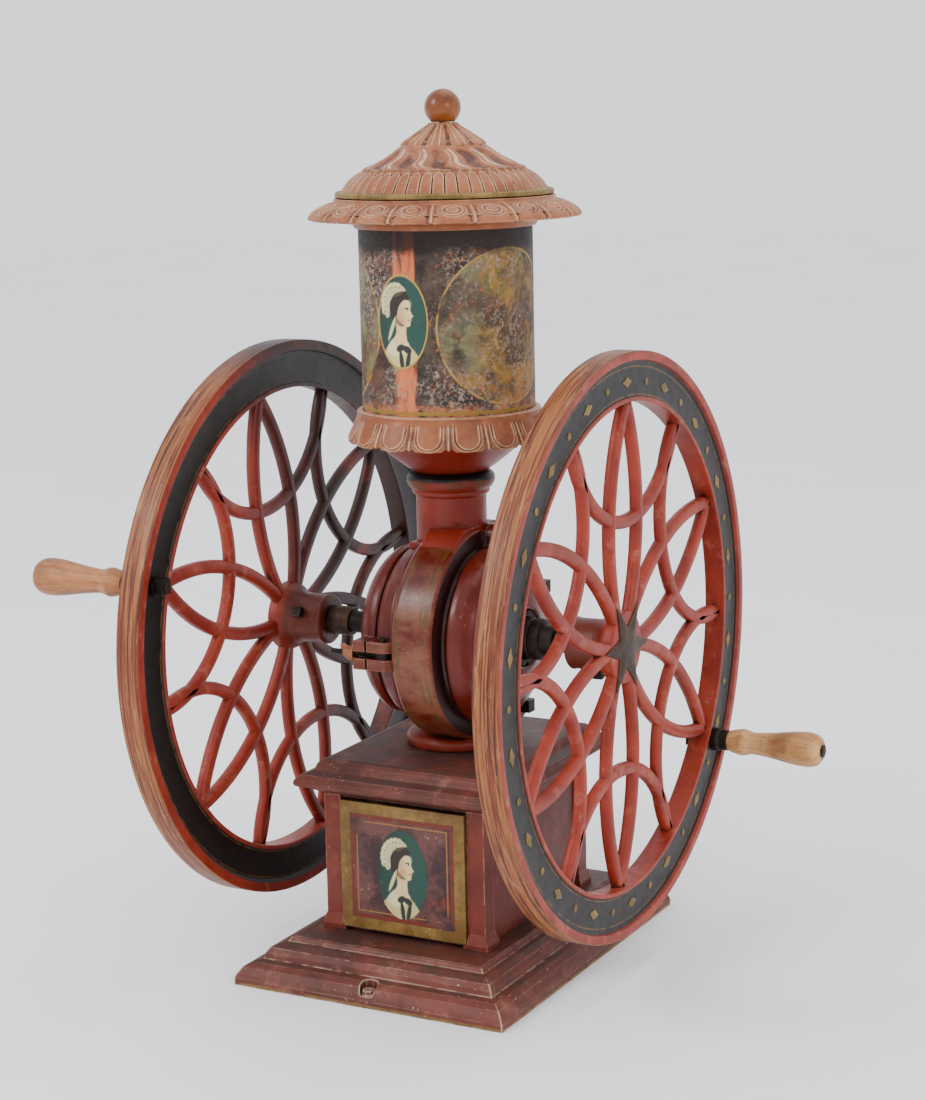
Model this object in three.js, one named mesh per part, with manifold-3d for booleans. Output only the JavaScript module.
// Two-wheel cast-iron coffee grinder mill on a drawer pedestal.
// Units are millimetres, +Z is up, +X points to the right-hand wheel and -Y to the drawer front.
// The origin is on the ground, straight below the middle of the axle.
import * as THREE from 'three';
import { mergeVertices } from 'three/addons/utils/BufferGeometryUtils.js';
import Module from 'manifold-3d';

const wasm = await Module();
wasm.setup();

// ---------- driving dimensions ----------

const GAP = 0.4; // clearance between pieces that touch

// stand
const STAND_Y = 10.5; // the stand and the hopper are centred this far behind the axle
const PLINTH_HALF = [158.4, 211.6];
const PLINTH_TOP = 46;
const CASE_HALF = [95, 122.5]; // over the corner pilasters
const CASE_TOP = 194;
const PILASTER = 20; // width of a corner pilaster
const PANEL_INSET = 4; // side panels lie this far behind the pilasters
const CASE_WALL = 6;
const CORNICE_HALF = [119.2, 146.6];
const PLATE_TOP = 231;
const PLATE_ROOF = 219; // underside of the roof inside the top plate
const TIE_ROD_AT = [79, 106];
const FOOT_SCREW_AT = 31;

// drawer
const DRAWER_FRONT_HALF = 74.2;
const DRAWER_Z = [50.6, 189.8];
const DRAWER_BOX_HALF = 70;
const DRAWER_BOX_TOP = 150;
const DRAWER_BACK_Y = 108;
const DRAWER_FACE_Y = -126.5;
const DRAWER_FRONT_THICK = 8;
const DRAWER_SHEET = 3;

// grinding head
const AXLE_Z = 354.4;
const SHAFT_R = 12;
const RUNNING_BORE = SHAFT_R + 0.6; // fixed bores that the shaft turns in
const SLEEVE_R = 22;
const CHAMBER_R = 80; // bore of the casing
const WEB_BORE = 29.4; // hole in the wall between the feed and burr chambers
const CASING_X = [-38.6, 43.6];
const NECK_R = 37.4;
const NECK_BORE = 29.5;
const COLLAR_R = 47;
const COLLAR_Z = [502, 527];
const BOWL_SEAT_R = 38;
const BOWL_SEAT_Z = 511.5;
const FOOT_R = 54;
const THROAT_R = 38; // between the casing and its foot
const CHUTE_R = 34;
const LUG_REACH = 113; // from the axle to the front of the clamp lugs
const LUG_UPPER = [-3.4, 8.1]; // heights relative to the axle
const LUG_LOWER = [-22.4, -10.4];
const CLAMP_Z = -6.9;
const PIVOT_AT = [-23, 104];
const NUT_X = -55.9; // far enough out to clear the lug corner as the bolt swings
const BOLT_ANGLES = [19, -58, 80]; // cover bolts, from +Y toward +Z
const BOLT_CIRCLE = 105;
const LEFT_BOSS_X = -86; // outer end of the left cover's boss

// hopper and lid
const HOPPER_R = 91;
const HOPPER_SHEET = 1.5;
const HOPPER_Z = [565.9, 797];
const BALL_R = 19;
const BALL_Z = 904.3;

// wheels
const WHEEL_R = 305;
const RIM_BORE = 253.6;
const RIM_X = [187.4, 214.5];
const SPOKE_X = [194, 207];
const SPOKE_WIDTH = 16;
const HUB_X = 146.5; // inner end of the hub
const HUB_BORE = SHAFT_R + GAP;
const RIGHT_PHASE = 27; // angle of the first petal, from +Y toward +Z
const LEFT_PHASE = 41.5;
const HANDLE_R = 276;
const RIGHT_HANDLE_ANGLE = -34;
const LEFT_HANDLE_ANGLE = 162.3;
const RIGHT_SCREW_ANGLE = -78; // hub set screws
const LEFT_SCREW_ANGLE = 158;
const HANDLE_TIP = 340.5;
const SPINDLE_R = 4;

const RAD = Math.PI / 180;

// ---------- closed meshes ----------

function signedVolume(positions, triangles) {
  const [a, b, c] = [new THREE.Vector3(), new THREE.Vector3(), new THREE.Vector3()];
  let sum = 0;
  for (let i = 0; i < triangles.length; i += 3) {
    a.fromArray(positions, 3 * triangles[i]);
    b.fromArray(positions, 3 * triangles[i + 1]);
    c.fromArray(positions, 3 * triangles[i + 2]);
    sum += a.dot(b.cross(c));
  }
  return sum / 6;
}

// Shares vertices, drops collapsed triangles and turns every face outward.
function solid(geometry) {
  geometry.deleteAttribute('normal');
  geometry.deleteAttribute('uv');
  const merged = mergeVertices(geometry, 1e-4);
  const source = merged.index.array;
  const triangles = [];
  for (let i = 0; i < source.length; i += 3) {
    const [p, q, r] = [source[i], source[i + 1], source[i + 2]];
    if (p !== q && q !== r && r !== p) triangles.push(p, q, r);
  }
  if (signedVolume(merged.attributes.position.array, triangles) < 0) triangles.reverse();
  merged.setIndex(triangles);
  return merged;
}

function toManifold(geometry) {
  return new wasm.Manifold(new wasm.Mesh({
    numProp: 3,
    vertProperties: Float32Array.from(geometry.attributes.position.array),
    triVerts: Uint32Array.from(geometry.index.array),
  }));
}

function fromManifold(body) {
  const result = body.getMesh();
  const geometry = new THREE.BufferGeometry();
  geometry.setAttribute('position', new THREE.BufferAttribute(result.vertProperties, 3));
  geometry.setIndex(new THREE.BufferAttribute(result.triVerts, 1));
  return geometry;
}

function join(...geometries) {
  return fromManifold(geometries.map(toManifold).reduce((a, b) => a.add(b)));
}

function cut(geometry, ...tools) {
  return fromManifold(tools.map(toManifold).reduce((a, b) => a.subtract(b), toManifold(geometry)));
}

// ---------- basic forms ----------

// A profile is a list of [radius, height along the axis].
function revolve(profile, segments) {
  const points = profile.map(([r, h]) => new THREE.Vector2(r, h));
  const fromAxisToAxis = profile[0][0] === 0 && profile.at(-1)[0] === 0;
  if (!fromAxisToAxis) points.push(points[0].clone());
  return new THREE.LatheGeometry(points, segments);
}

function aroundZ(profile, segments = 16) {
  return solid(revolve(profile, segments).rotateX(Math.PI / 2));
}

function aroundX(profile, segments = 16) {
  return solid(revolve(profile, segments).rotateZ(-Math.PI / 2));
}

function rodZ(radius, z0, z1, segments = 8) {
  return aroundZ([[0, z0], [radius, z0], [radius, z1], [0, z1]], segments);
}

function rodX(radius, x0, x1, segments = 8) {
  return aroundX([[0, x0], [radius, x0], [radius, x1], [0, x1]], segments);
}

function tubeX(inner, outer, x0, x1, segments = 12) {
  return aroundX([[inner, x0], [outer, x0], [outer, x1], [inner, x1]], segments);
}

function box(x0, x1, y0, y1, z0, z1) {
  const geometry = new THREE.BoxGeometry(x1 - x0, y1 - y0, z1 - z0);
  return solid(geometry.translate((x0 + x1) / 2, (y0 + y1) / 2, (z0 + z1) / 2));
}

// A stack of rectangles, each [half width in X, half depth in Y, height].
function mouldedBlock(levels) {
  const positions = [];
  for (const [hx, hy, z] of levels) {
    positions.push(-hx, -hy, z, hx, -hy, z, hx, hy, z, -hx, hy, z);
  }
  const triangles = [0, 2, 1, 0, 3, 2];
  for (let level = 0; level < levels.length - 1; level++) {
    for (let side = 0; side < 4; side++) {
      const a = 4 * level + side;
      const b = 4 * level + (side + 1) % 4;
      triangles.push(a, b, b + 4, a, b + 4, a + 4);
    }
  }
  const top = 4 * (levels.length - 1);
  triangles.push(top, top + 1, top + 2, top, top + 2, top + 3);
  const geometry = new THREE.BufferGeometry();
  geometry.setAttribute('position', new THREE.Float32BufferAttribute(positions, 3));
  geometry.setIndex(triangles);
  return solid(geometry);
}

function extrude(outline, depth) {
  const shape = new THREE.Shape(outline.map(([x, y]) => new THREE.Vector2(x, y)));
  return new THREE.ExtrudeGeometry(shape, { depth, bevelEnabled: false, steps: 1 });
}

// An outline in (x, y), raised from z0 to z1.
function slabZ(outline, z0, z1) {
  return solid(extrude(outline, z1 - z0).translate(0, 0, z0));
}

const TURN_TO_X = new THREE.Matrix4().makeBasis(
  new THREE.Vector3(0, 1, 0),
  new THREE.Vector3(0, 0, 1),
  new THREE.Vector3(1, 0, 0),
);

// An outline in (y, z), running from x0 to x1.
function slabX(outline, x0, x1) {
  return solid(extrude(outline, x1 - x0).applyMatrix4(TURN_TO_X).translate(x0, 0, 0));
}

// A curved bar in a flat plane: part of a ring about a centre, of the given width.
function arcBand(centre, radius, width, from, to, steps) {
  const outline = [];
  for (let side = 0; side < 2; side++) {
    for (let i = 0; i <= steps; i++) {
      const t = side === 0 ? i / steps : 1 - i / steps;
      const angle = (from + (to - from) * t) * RAD;
      const r = radius + (side === 0 ? width : -width) / 2;
      outline.push([centre[0] + r * Math.cos(angle), centre[1] + r * Math.sin(angle)]);
    }
  }
  return outline;
}

// A point in the wheel plane at a radius and an angle from +Y toward +Z.
function polar(radius, angle) {
  return [radius * Math.cos(angle * RAD), radius * Math.sin(angle * RAD)];
}

function move(geometry, x, y, z) {
  return geometry.translate(x, y, z);
}

// Mirrors in the plane x = 0.
function mirrorX(geometry) {
  return solid(geometry.clone().scale(-1, 1, 1));
}

function mirrorY(geometry) {
  return solid(geometry.clone().scale(1, -1, 1));
}

// ---------- finishes ----------

const FINISHES = {
  redPaint: [0x9c3b2b, 0.55, 0.25],
  stoveRed: [0x7d352c, 0.6, 0.25],
  copperPaint: [0xb77760, 0.6, 0.3],
  hopperPaint: [0x4b3b33, 0.6, 0.25],
  drawerPaint: [0x80693a, 0.6, 0.25],
  darkIron: [0x35302c, 0.5, 0.7],
  bronze: [0x5d4a35, 0.5, 0.7],
  steel: [0x8a8580, 0.35, 0.9],
  brass: [0x9a7a3a, 0.4, 0.9],
  wood: [0xc99a5b, 0.55, 0],
  tin: [0x6f675d, 0.5, 0.6],
};

function piece(name, geometry, finish) {
  const [color, roughness, metalness] = FINISHES[finish];
  const mesh = new THREE.Mesh(geometry, new THREE.MeshStandardMaterial({ color, roughness, metalness }));
  mesh.name = name;
  return mesh;
}

// ---------- stand: plinth, case, top plate ----------

function plinth() {
  // each step is [inset from the outer edge, height]
  const steps = [[0, 0], [0, 7.5], [2, 12], [7, 19], [14, 23.5], [23, 25], [24.5, 31], [28, 36.5],
    [36, 40], [42, 41], [44.5, 44.5], [47, PLINTH_TOP]];
  const [hx, hy] = PLINTH_HALF;
  const wall = 9;
  let body = mouldedBlock(steps.map(([inset, z]) => [hx - inset, hy - inset, z]));
  const hollow = mouldedBlock([[hx - wall, hy - wall, -1], [hx - wall - 2, hy - wall - 2, 6],
    [hx - 34, hy - 34, 17], [hx - 56, hy - 56, 36]]);
  const notchR = 10;
  const notches = [-1, 1].map((side) => move(rodZ(notchR, 12, 60), 0, side * (hy - 10), 0));
  const bossR = 6.5;
  const screwR = 2.6;
  const bosses = [-1, 1].map((side) => move(rodZ(bossR, 5, 17), 0, side * (hy - 10), 0));
  const holes = corners(TIE_ROD_AT).map(([x, y]) => move(rodZ(3.5, 30, 60), x, y, 0));
  const screwHoles = [-1, 1].map((side) => move(rodZ(screwR, -2, 20), 0, side * (hy - 10), 0));
  body = cut(body, hollow, ...notches, ...holes);
  return cut(join(body, ...bosses), ...screwHoles);
}

function corners([x, y]) {
  return [[-x, -y], [x, -y], [x, y], [-x, y]];
}

function pedestalCase() {
  const [hx, hy] = CASE_HALF;
  const bottom = PLINTH_TOP + GAP;
  const top = CASE_TOP - GAP;
  const half = PILASTER / 2;
  const panels = box(-hx + PANEL_INSET, hx - PANEL_INSET, -hy + PANEL_INSET, hy - PANEL_INSET, bottom, top);
  const posts = corners([hx - half, hy - half]).flatMap(([x, y]) => {
    const post = move(mouldedBlock([[half, half, bottom], [half, half, top]]), x, y, 0);
    const foot = move(mouldedBlock([[14, 14, bottom], [14, 14, 51], [10.5, 10.5, 62]]), x, y, 0);
    return [post, foot];
  });
  const inner = box(-hx + PANEL_INSET + CASE_WALL, hx - PANEL_INSET - CASE_WALL,
    -hy + PANEL_INSET + CASE_WALL, hy - PANEL_INSET - CASE_WALL, bottom - 1, top + 1);
  const opening = DRAWER_FRONT_HALF + 0.6;
  const mouth = box(-opening, opening, -hy - 20, 0, DRAWER_Z[0] - 0.6, DRAWER_Z[1] + 0.6);
  return cut(join(panels, ...posts), inner, mouth);
}

function topPlate() {
  const steps = [[24, CASE_TOP], [20, 196], [8, 202.5], [1.5, 204], [0, 207], [1, 211], [6.3, 216],
    [16.2, 219.5], [17.5, 221.5], [19.6, 227], [23, 229.5], [28.7, PLATE_TOP]];
  const [hx, hy] = CORNICE_HALF;
  const body = mouldedBlock(steps.map(([inset, z]) => [hx - inset, hy - inset, z]));
  const hollow = box(-72, 72, -99, 99, CASE_TOP - 1, PLATE_ROOF);
  const chute = rodZ(CHUTE_R, PLATE_ROOF - 2, PLATE_TOP + 2, 32);
  const screwHoles = corners([FOOT_SCREW_AT, FOOT_SCREW_AT]).map(
    ([x, y]) => move(rodZ(3.4, PLATE_ROOF - 2, PLATE_TOP + 2), x, y, 0));
  const rodHoles = corners(TIE_ROD_AT).map(([x, y]) => move(rodZ(3.4, CASE_TOP - 1, 214), x, y, 0));
  return cut(body, hollow, chute, ...screwHoles, ...rodHoles);
}

// A long bolt from inside the plinth up into the top plate.
function tieRod() {
  return aroundZ([[0, 31], [6.5, 31], [6.5, 35.5], [3, 35.5], [3, 212], [0, 212]], 8);
}

// A screw from inside the top plate up into the foot of the grinding head.
function footScrew() {
  const seat = PLATE_ROOF - GAP;
  return aroundZ([[0, 214], [5.5, 214], [5.5, seat], [3, seat], [3, 236], [0, 236]], 8);
}

// ---------- drawer ----------

function drawerBox() {
  const front = DRAWER_FACE_Y + DRAWER_FRONT_THICK + GAP;
  const [w, s] = [DRAWER_BOX_HALF, DRAWER_SHEET];
  const bottom = DRAWER_Z[0] + 0.5;
  const outer = box(-w, w, front, DRAWER_BACK_Y, bottom, DRAWER_BOX_TOP);
  const inner = box(-w + s, w - s, front + s, DRAWER_BACK_Y - s, bottom + s, DRAWER_BOX_TOP + 1);
  return cut(outer, inner);
}

function drawerFront() {
  const [z0, z1] = DRAWER_Z;
  const w = DRAWER_FRONT_HALF;
  const y0 = DRAWER_FACE_Y;
  const y1 = y0 + DRAWER_FRONT_THICK;
  return box(-w, w, y0, y1, z0, z1);
}

// ---------- grinding head, about the axle ----------

const RISE = -AXLE_Z; // turns a height above the ground into a height above the axle

function lugOutline(x0, x1, corner) {
  return [[x0, -78], [x0, -LUG_REACH], [x1 - corner, -LUG_REACH], [x1, -LUG_REACH + corner], [x1, -78]];
}

// Front and rear pairs of clamp lugs.
function lugs(x0, x1, corner) {
  const front = [LUG_UPPER, LUG_LOWER].map(([z0, z1]) => slabZ(lugOutline(x0, x1, corner), z0, z1));
  return [...front, ...front.map(mirrorY)];
}

function ears(x0, x1) {
  return BOLT_ANGLES.map((angle) => {
    const [y, z] = polar(BOLT_CIRCLE, angle);
    return move(rodX(13, x0, x1, 10), 0, y, z);
  });
}

function earHoles(x0, x1) {
  return BOLT_ANGLES.map((angle) => {
    const [y, z] = polar(BOLT_CIRCLE, angle);
    return move(rodX(4.5 + GAP, x0, x1), 0, y, z);
  });
}

function millBody() {
  const [x0, x1] = CASING_X;
  const casing = aroundX([[70, x0], [91, x0], [100, -16], [98.5, -12.5],
    [107, -11], [112, -5], [112, 37], [100, 39.5], [93, 40.5], [93, x1], [70, x1]], 24);
  const neck = move(aroundZ([[0, 60], [NECK_R, 60], [NECK_R, COLLAR_Z[0] + RISE], [41, 503.5 + RISE],
    [42, 508 + RISE], [COLLAR_R, 513.5 + RISE], [COLLAR_R, 522 + RISE], [43, COLLAR_Z[1] + RISE],
    [0, COLLAR_Z[1] + RISE]], 20), 0, STAND_Y, 0);
  const saddle = slabX([[-56, 94], [-32, 116], [44, 116], [56, 94]], -5, 37);
  const shoulder = box(-33, 32, STAND_Y - 36, STAND_Y + 36, 60, 100);
  const sole = PLATE_TOP + GAP + RISE;
  const foot = move(aroundZ([[0, sole], [FOOT_R, sole], [FOOT_R, 240 + RISE],
    [50, 244 + RISE], [THROAT_R, 247 + RISE], [THROAT_R, -75], [0, -75]], 20), 0, STAND_Y, 0);
  const feedChamber = rodX(CHAMBER_R, x0 - 1, 8, 24);
  const burrChamber = rodX(CHAMBER_R, 17.8, x1 + 1, 24);
  const neckBore = move(rodZ(NECK_BORE, 40, 200, 16), 0, STAND_Y, 0);
  const bowlSeat = move(rodZ(BOWL_SEAT_R, BOWL_SEAT_Z + RISE, 200, 16), 0, STAND_Y, 0);
  const chute = move(rodZ(CHUTE_R, -140, -60, 16), 0, STAND_Y, 0);
  const screwHoles = corners([FOOT_SCREW_AT, FOOT_SCREW_AT]).map(
    ([x, y]) => move(rodZ(3.4, -130, 237 + RISE), x, y + STAND_Y, 0));
  const [px, py] = PIVOT_AT;
  const pinHoles = [-1, 1].map((side) => move(rodZ(3.4, -30, 30), px, side * py, 0));
  const eyePocket = box(-33.5, -12.5, -100, -94, LUG_LOWER[1], LUG_UPPER[0]);
  const solidBody = join(casing, neck, shoulder, saddle, foot, ...lugs(-37.6, -9, 7), ...ears(28, x1));
  const web = tubeX(WEB_BORE, CHAMBER_R + 6, 8, 17.8, 24);
  const hollowed = cut(solidBody, feedChamber, burrChamber, chute, neckBore, bowlSeat, ...screwHoles,
    ...pinHoles, ...earHoles(33, 60), eyePocket, mirrorY(eyePocket));
  return join(hollowed, cut(web, chute, neckBore));
}

function leftCover() {
  const shell = aroundX([[CHAMBER_R, -39.2], [90, -39.2], [91.5, -42], [91.3, -49], [87.5, -56], [80, -63],
    [70, -68.8], [56, -74], [40, -77.3], [28, -79], [27, LEFT_BOSS_X], [15.4, LEFT_BOSS_X], [15.4, -71],
    [34, -71], [56, -66], [70, -60], [CHAMBER_R, -50]], 24);
  return cut(join(shell, ...lugs(-54, -39.4, 0)), rodX(CHAMBER_R - 1, -49, -39, 24));
}

function rightCover() {
  const shell = aroundX([[CHAMBER_R, 44], [93, 44], [96, 47], [95, 58], [89, 69], [78, 79], [63, 87],
    [34, 93.5], [30.4, 93.5], [30.4, 85], [22.6, 85], [22.6, 68], [40, 66], [78, 50]], 24);
  return cut(join(shell, ...ears(44, 58)), ...earHoles(40, 60), rodX(CHAMBER_R - 3, 30, 50, 48));
}

function coverBolt() {
  const shank = rodX(4.5, 34, 60);
  return join(shank, box(58.4, 69, -6.8, 6.8, -6.8, 6.8));
}

// A bearing bush with its flange inside the cover.
function leftBush() {
  return aroundX([[RUNNING_BORE, LEFT_BOSS_X], [15, LEFT_BOSS_X], [15, -70.6], [20, -70.6], [20, -67.6],
    [RUNNING_BORE, -67.6]], 12);
}

function adjustingSleeve() {
  return aroundX([[15.6, 62], [SLEEVE_R, 62], [SLEEVE_R, 112], [19, 114], [16.5, 114], [16.5, 126],
    [15, 128], [RUNNING_BORE, 128], [RUNNING_BORE, 88.4], [15.6, 88.4]], 16);
}

function lockRing() {
  const ring = tubeX(SLEEVE_R + 2 * GAP, 29.4, 85.6, 92, 16);
  const slots = [0, 90, 180, 270].map((angle) => {
    const [y, z] = polar(28, angle);
    return move(box(88, 94, -2.5, 2.5, -2.5, 2.5), 0, y, z);
  });
  return cut(ring, ...slots);
}

function feedTrough() {
  return cut(tubeX(24.5, 28.9, -36, 17.4, 16), box(-30, 6, -21, 21, 4, 40));
}

// A two-start screw: its section turns steadily along the shaft.
function feedAuger() {
  const [x0, x1, turns, steps, points] = [-35, 26, 1.25, 15, 12];
  const positions = [];
  for (let i = 0; i <= steps; i++) {
    const twist = 2 * Math.PI * turns * i / steps;
    for (let k = 0; k < points; k++) {
      const angle = 2 * Math.PI * k / points;
      const r = 19 + 4.5 * Math.cos(2 * angle);
      positions.push(x0 + (x1 - x0) * i / steps, r * Math.cos(angle + twist), r * Math.sin(angle + twist));
    }
  }
  const triangles = [];
  for (let i = 0; i < steps; i++) {
    for (let k = 0; k < points; k++) {
      const a = i * points + k;
      const b = i * points + (k + 1) % points;
      triangles.push(a, b, b + points, a, b + points, a + points);
    }
  }
  const last = steps * points;
  for (let k = 1; k < points - 1; k++) {
    triangles.push(0, k + 1, k, last, last + k, last + k + 1);
  }
  const geometry = new THREE.BufferGeometry();
  geometry.setAttribute('position', new THREE.Float32BufferAttribute(positions, 3));
  geometry.setIndex(triangles);
  return cut(solid(geometry), rodX(SHAFT_R + GAP, x0 - 1, x1 + 1, 12));
}

// A grinding plate with radial ridges on one face.
function burr(x0, x1, bore, ridgeFrom, ridgeTo) {
  const plate = tubeX(bore, 71, x0, x1, 24);
  const ridge = slabX([[44, -1.6], [70, -2.6], [70, 2.6], [44, 1.6]], ridgeFrom, ridgeTo);
  const ridges = [...Array(8).keys()].map((k) => ridge.clone().rotateX(k * 45 * RAD));
  return join(plate, ...ridges);
}

function returnSpring() {
  class Coil extends THREE.Curve {
    getPoint(t) {
      const angle = t * 4 * 2 * Math.PI;
      return new THREE.Vector3(-65 + 26 * t, 16 * Math.cos(angle), 16 * Math.sin(angle));
    }
  }
  const sides = 5;
  const wire = [...Array(sides).keys()].map((k) => {
    const angle = 2 * Math.PI * k / sides;
    return new THREE.Vector2(1.5 * Math.cos(angle), 1.5 * Math.sin(angle));
  });
  const options = { extrudePath: new Coil(), steps: 32, bevelEnabled: false };
  return solid(new THREE.ExtrudeGeometry(new THREE.Shape(wire), options));
}

function shaft() {
  return aroundX([[0, -210], [9, -210], [9, -203], [SHAFT_R, -203], [SHAFT_R, 203],
    [9, 203], [9, 210], [0, 210]], 12);
}

// ---------- clamps ----------

function pivotPin() {
  const head = LUG_UPPER[1] + GAP;
  return aroundZ([[0, -24.5], [3, -24.5], [3, head], [4.4, head], [4.4, 11], [0, 11]], 8);
}

// Centred on its pivot pin, pointing along -X.
function swingBolt() {
  const eye = rodZ(8, -2.9, 2.9, 16);
  const shank = rodX(2.9, -61, -6);
  return cut(join(eye, shank), rodZ(3.4, -5, 5));
}

function wingNut() {
  const hub = aroundX([[3.3, 0], [7.5, 0], [6.5, 9], [5, 13], [3.3, 13]].map(([r, x]) => [r, -x]), 12);
  const wing = slabX([[5, -2], [5, 2], [13, 1.5], [13, -1.5]], -17, -4);
  return cut(join(hub, wing, wing.clone().rotateX(Math.PI)), rodX(3.3, -20, 1, 12));
}

// ---------- wheels, built for the right-hand side ----------

function rim() {
  const [inner, outer] = RIM_X;
  const recess = 4.5;
  return aroundX([[RIM_BORE, inner + recess], [292, inner + recess], [293, inner], [WHEEL_R, inner],
    [WHEEL_R, outer], [296, outer], [295.5, outer - recess], [RIM_BORE, outer - recess]], 32);
}

// Six long arcs cross at the hub and make six petals; six shorter arches tie them to the rim.
function spokes(phase) {
  const bars = [];
  const R = RIM_BORE;
  const archCentre = 264.6;
  const archRadius = 134.6;
  for (let k = 0; k < 6; k++) {
    const angle = phase + 60 * k;
    const back = angle + 180;
    const long = arcBand(polar(R, angle), R, SPOKE_WIDTH, back - 61, back + 61, 8);
    const arch = arcBand(polar(archCentre, angle), archRadius, SPOKE_WIDTH, back - 72, back + 72, 7);
    bars.push(slabX(long, ...SPOKE_X), slabX(arch, ...SPOKE_X));
  }
  return bars;
}

function hub() {
  const [, face] = SPOKE_X;
  return aroundX([[0, HUB_X], [27.3, HUB_X], [28, 183], [36, 194], [36, face], [0, face]], 20);
}

const SET_SCREW_X = 172;

function wheel(phase, handleAngle, screwAngle) {
  const [y, z] = polar(HANDLE_R, handleAngle);
  const bore = rodX(HUB_BORE, HUB_X - 1, 230, 12);
  const spindleHole = move(rodX(SPINDLE_R + GAP, 180, 220), 0, y, z);
  const screwHole = rodZ(4.4, 0, 40).rotateX((screwAngle - 90) * RAD).translate(SET_SCREW_X, 0, 0);
  return cut(join(rim(), hub(), ...spokes(phase)), bore, spindleHole, screwHole);
}

function hubStar(phase) {
  const outline = [];
  for (let k = 0; k < 6; k++) {
    outline.push(polar(66, phase + 30 + 60 * k), polar(25, phase + 60 + 60 * k));
  }
  const face = SPOKE_X[1] + GAP;
  return cut(slabX(outline, face, face + 3.2), rodX(9.4, 200, 220, 12));
}

// A square-headed screw standing on its tip along +Z.
function setScrew() {
  return join(rodZ(4, 13, 31), box(-5.5, 5.5, -5.5, 5.5, 29.5, 37.5));
}

// ---------- handles, built for the right-hand side about their own spindle ----------

const SEAT_X = RIM_X[1] - 4.5; // bottom of the recess in the rim face

function spindle() {
  return aroundX([[0, 176], [SPINDLE_R, 176], [SPINDLE_R, 338], [7, 338], [7.5, HANDLE_TIP - 1],
    [5, HANDLE_TIP], [0, HANDLE_TIP]], 10);
}

function ferrule() {
  return aroundX([[SPINDLE_R + GAP, SEAT_X + GAP], [12.7, SEAT_X + GAP], [12.7, 219], [11.5, 221],
    [11.5, 228], [SPINDLE_R + GAP, 228]], 12);
}

function grip() {
  const bore = SPINDLE_R + 0.7;
  return aroundX([[bore, 228.4], [11, 228.4], [14, 240], [15, 246], [12.4, 257], [14, 277], [18, 300],
    [19.3, 315], [18.8, 326], [15, 335], [11, 337.6], [bore, 337.6]], 14);
}

function spindleNut() {
  return cut(box(178.8, 187.6, -8, 8, -8, 8), rodX(SPINDLE_R + GAP, 170, 195));
}

function spindleWasher() {
  return tubeX(SPINDLE_R + GAP, 11, 188, 190);
}

// ---------- hopper and lid, about the hopper axis ----------

function hopperBowl() {
  return aroundZ([[27, 512], [36, 512], [36, 526], [62, 549], [82, 560], [90.5, 562],
    [90.5, 565.5], [80, 565.5], [58, 549.5], [27, 522]], 24);
}

function hopperSkirt() {
  return aroundZ([[91.5, 594.4], [95, 594.2], [97.5, 591.5], [97.6, 588], [99, 584], [103, 574.5],
    [107.8, 566], [107.5, 560.5], [104, 560], [97, 572], [91.5, 577]], 28);
}

function hopperCylinder() {
  const [z0, z1] = HOPPER_Z;
  const inner = HOPPER_R - HOPPER_SHEET;
  return aroundZ([[inner, z0], [HOPPER_R, z0], [HOPPER_R, z1], [inner, z1]], 28);
}

function hopperBrim() {
  return aroundZ([[91.5, 783], [94.5, 783], [96.5, 787], [104, 789.5], [122, 790.5], [140.6, 792.4],
    [143, 795.5], [138.5, 800.5], [128, 806.6], [115.5, 810.8], [115.3, 814], [103, 814],
    [91.5, 806]], 28);
}

function lid() {
  return aroundZ([[4.3, 889], [15.5, 889], [26, 881.2], [43.5, 868], [45, 865], [63.6, 853], [84, 843.6],
    [85.5, 840.8], [96.4, 834.8], [104, 826.3], [108.2, 819.5], [108.2, 814.4], [103.6, 814.4],
    [98, 825], [80, 837], [40, 857], [4.3, 874]], 28);
}

function lidBeadRing() {
  return aroundZ([[108.6, 814.4], [112.6, 814.4], [113.9, 817.5], [112.6, 820.7], [108.6, 820.7]], 28);
}

function finial() {
  const profile = [[0, 868], [3.9, 868], [3.9, 889.4], [11.8, 889.4]];
  for (let angle = -50; angle < 85; angle += 20) {
    profile.push([BALL_R * Math.cos(angle * RAD), BALL_Z + BALL_R * Math.sin(angle * RAD)]);
  }
  profile.push([0, BALL_Z + BALL_R]);
  return aroundZ(profile, 16);
}

// ---------- assembly ----------

const stand = new THREE.Group();
stand.position.y = STAND_Y;
stand.add(
  piece('base_plinth', plinth(), 'stoveRed'),
  piece('pedestal_case', pedestalCase(), 'redPaint'),
  piece('top_plate', topPlate(), 'stoveRed'),
  piece('drawer_box', drawerBox(), 'tin'),
  piece('drawer_front', drawerFront(), 'drawerPaint'),
);
corners(TIE_ROD_AT).forEach(([x, y], i) => {
  const rod = piece(`tie_rod_${i + 1}`, tieRod(), 'darkIron');
  rod.position.set(x, y, 0);
  stand.add(rod);
});
corners([FOOT_SCREW_AT, FOOT_SCREW_AT]).forEach(([x, y], i) => {
  const screw = piece(`foot_screw_${i + 1}`, footScrew(), 'darkIron');
  screw.position.set(x, y, 0);
  stand.add(screw);
});

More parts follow.
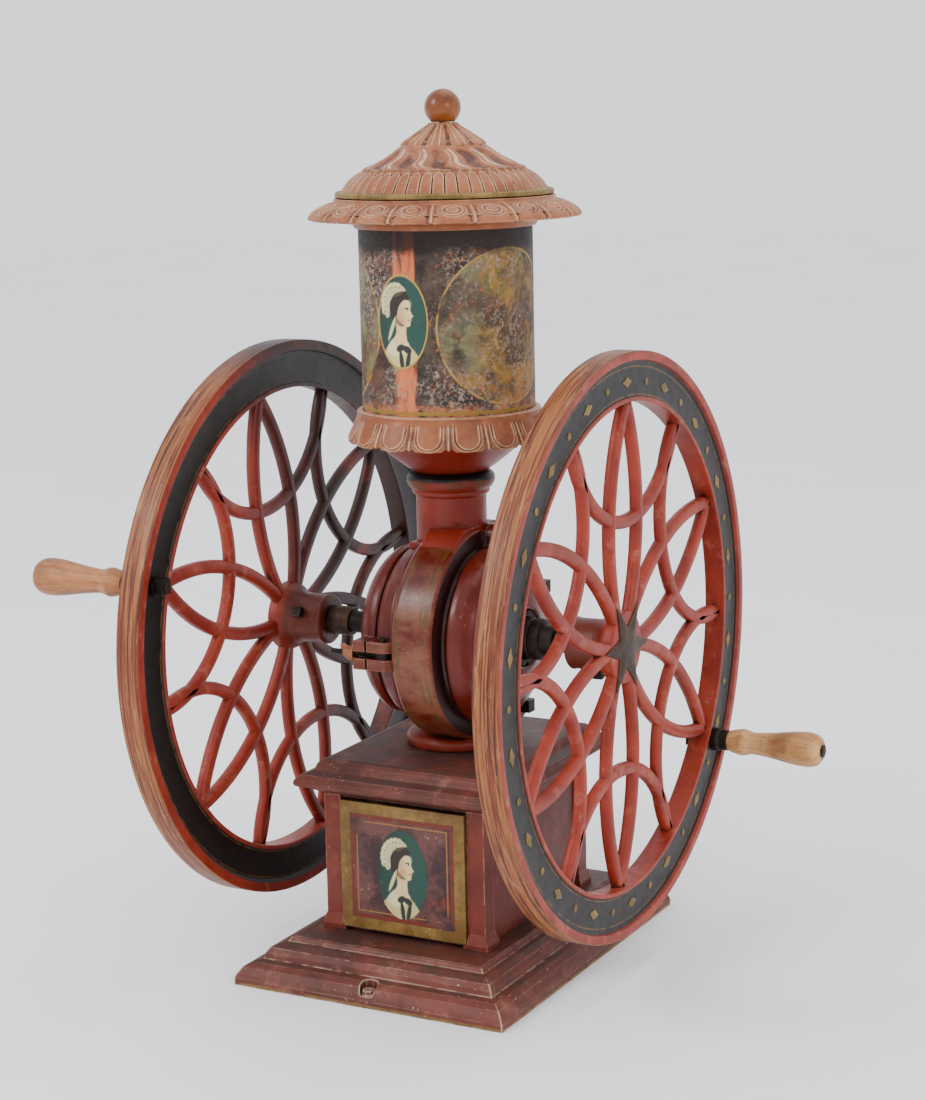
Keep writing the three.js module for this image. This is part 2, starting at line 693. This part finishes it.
const head = new THREE.Group();
head.position.z = AXLE_Z;
head.add(
  piece('mill_body', millBody(), 'redPaint'),
  piece('left_cover', leftCover(), 'redPaint'),
  piece('right_cover', rightCover(), 'redPaint'),
  piece('left_bush', leftBush(), 'brass'),
  piece('right_bush', tubeX(RUNNING_BORE, 15, 62.4, 88), 'brass'),
  piece('adjusting_sleeve', adjustingSleeve(), 'darkIron'),
  piece('lock_ring', lockRing(), 'darkIron'),
  piece('feed_trough', feedTrough(), 'darkIron'),
  piece('fixed_burr', burr(18.2, 25.6, 28, 25, 27.2), 'steel'),
);
BOLT_ANGLES.forEach((angle, i) => {
  const bolt = piece(`cover_bolt_${i + 1}`, coverBolt(), 'darkIron');
  const [y, z] = polar(BOLT_CIRCLE, angle);
  bolt.position.set(0, y, z);
  head.add(bolt);
});
for (const [place, side] of [['front', -1], ['rear', 1]]) {
  const clamp = new THREE.Group();
  clamp.position.set(PIVOT_AT[0], side * PIVOT_AT[1], 0);
  const bolt = piece(`${place}_swing_bolt`, swingBolt(), 'steel');
  bolt.position.z = CLAMP_Z;
  const nut = piece(`${place}_wing_nut`, wingNut(), 'redPaint');
  nut.position.set(NUT_X - PIVOT_AT[0], 0, CLAMP_Z);
  nut.rotation.x = 35 * RAD;
  clamp.add(piece(`${place}_pivot_pin`, pivotPin(), 'darkIron'), bolt, nut);
  head.add(clamp);
}

const axle = new THREE.Group();
axle.position.z = AXLE_Z;
axle.add(
  piece('shaft', shaft(), 'steel'),
  piece('shaft_collar', tubeX(SHAFT_R + GAP, 16, -145, -119), 'bronze'),
  piece('feed_auger', feedAuger(), 'steel'),
  piece('return_spring', returnSpring(), 'steel'),
  piece('rotating_burr', burr(29.9, 39, SHAFT_R + GAP, 28.2, 30.2), 'steel'),
  piece('right_wheel', wheel(RIGHT_PHASE, RIGHT_HANDLE_ANGLE, RIGHT_SCREW_ANGLE), 'redPaint'),
  piece('left_wheel', mirrorX(wheel(LEFT_PHASE, LEFT_HANDLE_ANGLE, LEFT_SCREW_ANGLE)), 'redPaint'),
  piece('right_hub_star', hubStar(RIGHT_PHASE), 'bronze'),
  piece('left_hub_star', mirrorX(hubStar(LEFT_PHASE)), 'bronze'),
);
for (const [place, side, angle] of [['right', 1, RIGHT_SCREW_ANGLE], ['left', -1, LEFT_SCREW_ANGLE]]) {
  const screw = piece(`${place}_set_screw`, setScrew(), 'darkIron');
  screw.position.x = side * SET_SCREW_X;
  screw.rotation.x = (angle - 90) * RAD;
  axle.add(screw);
}
for (const [place, angle, shape] of [
  ['right', RIGHT_HANDLE_ANGLE, (geometry) => geometry],
  ['left', LEFT_HANDLE_ANGLE, mirrorX],
]) {
  const handle = new THREE.Group();
  handle.position.set(0, ...polar(HANDLE_R, angle));
  handle.add(
    piece(`${place}_spindle`, shape(spindle()), 'darkIron'),
    piece(`${place}_ferrule`, shape(ferrule()), 'darkIron'),
    piece(`${place}_grip`, shape(grip()), 'wood'),
    piece(`${place}_spindle_nut`, shape(spindleNut()), 'darkIron'),
    piece(`${place}_spindle_washer`, shape(spindleWasher()), 'darkIron'),
  );
  axle.add(handle);
}

const hopper = new THREE.Group();
hopper.position.y = STAND_Y;
hopper.add(
  piece('hopper_bowl', hopperBowl(), 'redPaint'),
  piece('hopper_skirt', hopperSkirt(), 'copperPaint'),
  piece('hopper_cylinder', hopperCylinder(), 'hopperPaint'),
  piece('hopper_brim', hopperBrim(), 'copperPaint'),
  piece('lid', lid(), 'copperPaint'),
  piece('lid_bead_ring', lidBeadRing(), 'brass'),
  piece('finial', finial(), 'copperPaint'),
);

const mill = new THREE.Group();
mill.add(stand, head, axle, hopper);

export default mill;
